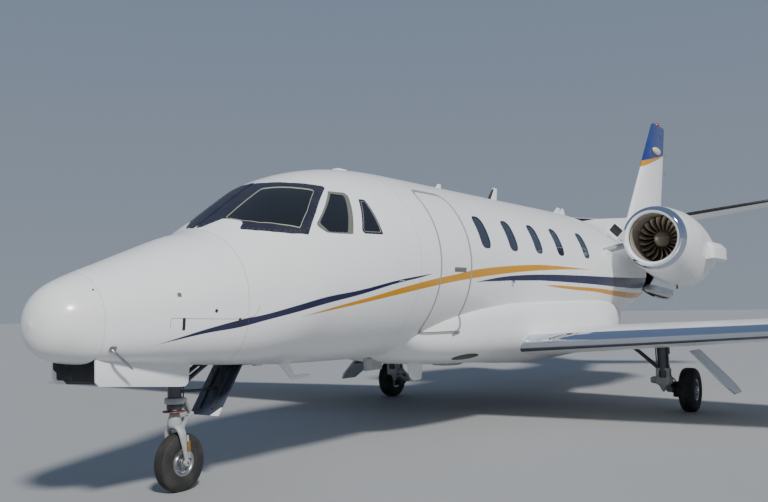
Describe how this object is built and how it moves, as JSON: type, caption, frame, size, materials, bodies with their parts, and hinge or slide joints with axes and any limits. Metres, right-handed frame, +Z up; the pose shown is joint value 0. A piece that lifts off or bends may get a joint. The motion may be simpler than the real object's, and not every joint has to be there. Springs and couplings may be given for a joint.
{
  "type": "business jet",
  "caption": "Low-wing business jet with two rear-mounted fan engines, swept fin, mid-mounted tailplane and tricycle landing gear, parked with its rear baggage door open.",
  "frame": {"origin": "on the ground, at the centre of the bounding box seen from above", "axes": "+X to the left wing tip, -Y to the nose, +Z up"},
  "size_m": [17.17, 15.79, 5.23],
  "materials": {
    "white_paint": "gloss",
    "radome_paint": "gloss",
    "polished_edge": "polished",
    "engine_paint": "gloss",
    "surface_paint": "gloss",
    "fan_metal": "satin",
    "engine_metal": "satin",
    "gear_metal": "satin",
    "wheel_metal": "satin",
    "tyre_rubber": "matte",
    "dark_glass": "polished",
    "cabin_glass": "polished",
    "seat_leather": "satin",
    "cabin_trim": "matte",
    "panel_plastic": "matte"
  },
  "bodies": {
    "airframe": {"radome": "radome_paint", "nose_section": "white_paint", "cockpit_shell": "white_paint", "windscreen_left": "dark_glass", "windscreen_right": "dark_glass", "side_window_front_left": "dark_glass", "side_window_front_right": "dark_glass", "side_window_rear_left": "dark_glass", "side_window_rear_right": "dark_glass", "cabin_shell": "white_paint", "cabin_glazing_left": "cabin_glass", "cabin_glazing_right": "cabin_glass", "cabin_floor": "cabin_trim", "crew_seats": "seat_leather", "cabin_seats": "seat_leather", "instrument_panel": "panel_plastic", "tail_cone": "white_paint", "belly_fairing": "white_paint", "wing_left": "white_paint", "wing_right": "white_paint", "fin": "white_paint", "stabilizer": "white_paint", "nacelle_left": "engine_paint", "nacelle_right": "engine_paint", "intake_lip_left": "polished_edge", "intake_lip_right": "polished_edge", "engine_core_left": "engine_metal", "engine_core_right": "engine_metal", "pylon_left": "white_paint", "pylon_right": "white_paint", "nose_leg": "gear_metal", "nose_strut_door": "surface_paint", "main_leg_left": "gear_metal", "main_leg_right": "gear_metal", "main_door_left": "surface_paint", "main_door_right": "surface_paint"},
    "nose_steering": {"nose_fork": "gear_metal"},
    "nose_wheel": {"nose_tyre": "tyre_rubber", "nose_rim": "wheel_metal"},
    "main_wheel_left": {"main_tyre_left": "tyre_rubber", "main_rim_left": "wheel_metal"},
    "fan_left": {"fan_left": "fan_metal"},
    "flap_left": {"flap_left": "surface_paint"},
    "aileron_left": {"aileron_left": "surface_paint"},
    "elevator_left": {"elevator_left": "surface_paint"},
    "nose_door_left": {"nose_door_left": "surface_paint"},
    "main_wheel_right": {"main_tyre_right": "tyre_rubber", "main_rim_right": "wheel_metal"},
    "fan_right": {"fan_right": "fan_metal"},
    "flap_right": {"flap_right": "surface_paint"},
    "aileron_right": {"aileron_right": "surface_paint"},
    "elevator_right": {"elevator_right": "surface_paint"},
    "nose_door_right": {"nose_door_right": "surface_paint"},
    "rudder": {"rudder": "surface_paint"},
    "cabin_door": {"cabin_door": "surface_paint"},
    "baggage_door": {"baggage_door": "surface_paint"}
  },
  "joints": [
    {"name": "nose_steering_turn", "type": "hinge", "parent": "airframe", "child": "nose_steering", "pos_m": [0, -6.603, 0.5], "axis": [0, 0, 1], "range_deg": [-20, 20]},
    {"name": "nose_wheel_spin", "type": "hinge", "parent": "nose_steering", "child": "nose_wheel", "pos_m": [0, -6.552, 0.22655], "axis": [1, 0, 0], "continuous": true},
    {"name": "main_wheel_left_spin", "type": "hinge", "parent": "airframe", "child": "main_wheel_left", "pos_m": [2.27, 0.128, 0.27711], "axis": [1, 0, 0], "continuous": true},
    {"name": "main_wheel_right_spin", "type": "hinge", "parent": "airframe", "child": "main_wheel_right", "pos_m": [-2.27, 0.128, 0.27711], "axis": [1, 0, 0], "continuous": true},
    {"name": "fan_left_spin", "type": "hinge", "parent": "airframe", "child": "fan_left", "pos_m": [1.6, 1.565, 2.33], "axis": [0, 1, 0], "continuous": true},
    {"name": "fan_right_spin", "type": "hinge", "parent": "airframe", "child": "fan_right", "pos_m": [-1.6, 1.565, 2.33], "axis": [0, 1, 0], "continuous": true},
    {"name": "cabin_door_hinge", "type": "hinge", "parent": "airframe", "child": "cabin_door", "pos_m": [0.805, -3.455, 1.132], "axis": [0, 1, 0], "range_deg": [0, 130]},
    {"name": "baggage_door_hinge", "type": "hinge", "parent": "airframe", "child": "baggage_door", "pos_m": [0.77229, 3.245, 1.596], "axis": [-0.1485, 0.984, 0.0984], "range_deg": [-102, 0]},
    {"name": "rudder_hinge", "type": "hinge", "parent": "airframe", "child": "rudder", "pos_m": [0, 6.77599, 3.33], "axis": [0, 0.4149, 0.9099], "range_deg": [-22, 22]},
    {"name": "elevator_left_hinge", "type": "hinge", "parent": "airframe", "child": "elevator_left", "pos_m": [0.19, 6.45823, 2.96731], "axis": [-0.9733, -0.1824, -0.1396], "range_deg": [-18, 18]},
    {"name": "elevator_right_hinge", "type": "hinge", "parent": "airframe", "child": "elevator_right", "pos_m": [-0.19, 6.45823, 2.96731], "axis": [-0.9733, 0.1824, 0.1396], "range_deg": [-18, 18]},
    {"name": "aileron_left_hinge", "type": "hinge", "parent": "airframe", "child": "aileron_left", "pos_m": [5.64, -0.32247, 1.21296], "axis": [-0.987, 0.1502, -0.0569], "range_deg": [-20, 20]},
    {"name": "aileron_right_hinge", "type": "hinge", "parent": "airframe", "child": "aileron_right", "pos_m": [-5.64, -0.32247, 1.21296], "axis": [-0.987, -0.1502, 0.0569], "range_deg": [-20, 20]},
    {"name": "flap_left_hinge", "type": "hinge", "parent": "airframe", "child": "flap_left", "pos_m": [1.08, 0.30382, 0.8664], "axis": [-0.9876, 0.1435, -0.0642], "range_deg": [0, 35]},
    {"name": "flap_right_hinge", "type": "hinge", "parent": "airframe", "child": "flap_right", "pos_m": [-1.08, 0.30382, 0.8664], "axis": [-0.9876, -0.1435, 0.0642], "range_deg": [0, 35]},
    {"name": "nose_door_left_hinge", "type": "hinge", "parent": "airframe", "child": "nose_door_left", "pos_m": [0.2307, -7.547, 1.13], "axis": [0, 0.993, -0.1178], "range_deg": [0, 84]},
    {"name": "nose_door_right_hinge", "type": "hinge", "parent": "airframe", "child": "nose_door_right", "pos_m": [-0.2307, -7.547, 1.13], "axis": [0, -0.993, 0.1178], "range_deg": [0, 84]}
  ],
  "couplings": [
    {"joint": "elevator_right_hinge", "follows": "elevator_left_hinge", "ratio": 1},
    {"joint": "aileron_right_hinge", "follows": "aileron_left_hinge", "ratio": -1},
    {"joint": "flap_right_hinge", "follows": "flap_left_hinge", "ratio": 1},
    {"joint": "nose_door_right_hinge", "follows": "nose_door_left_hinge", "ratio": 1}
  ]
}
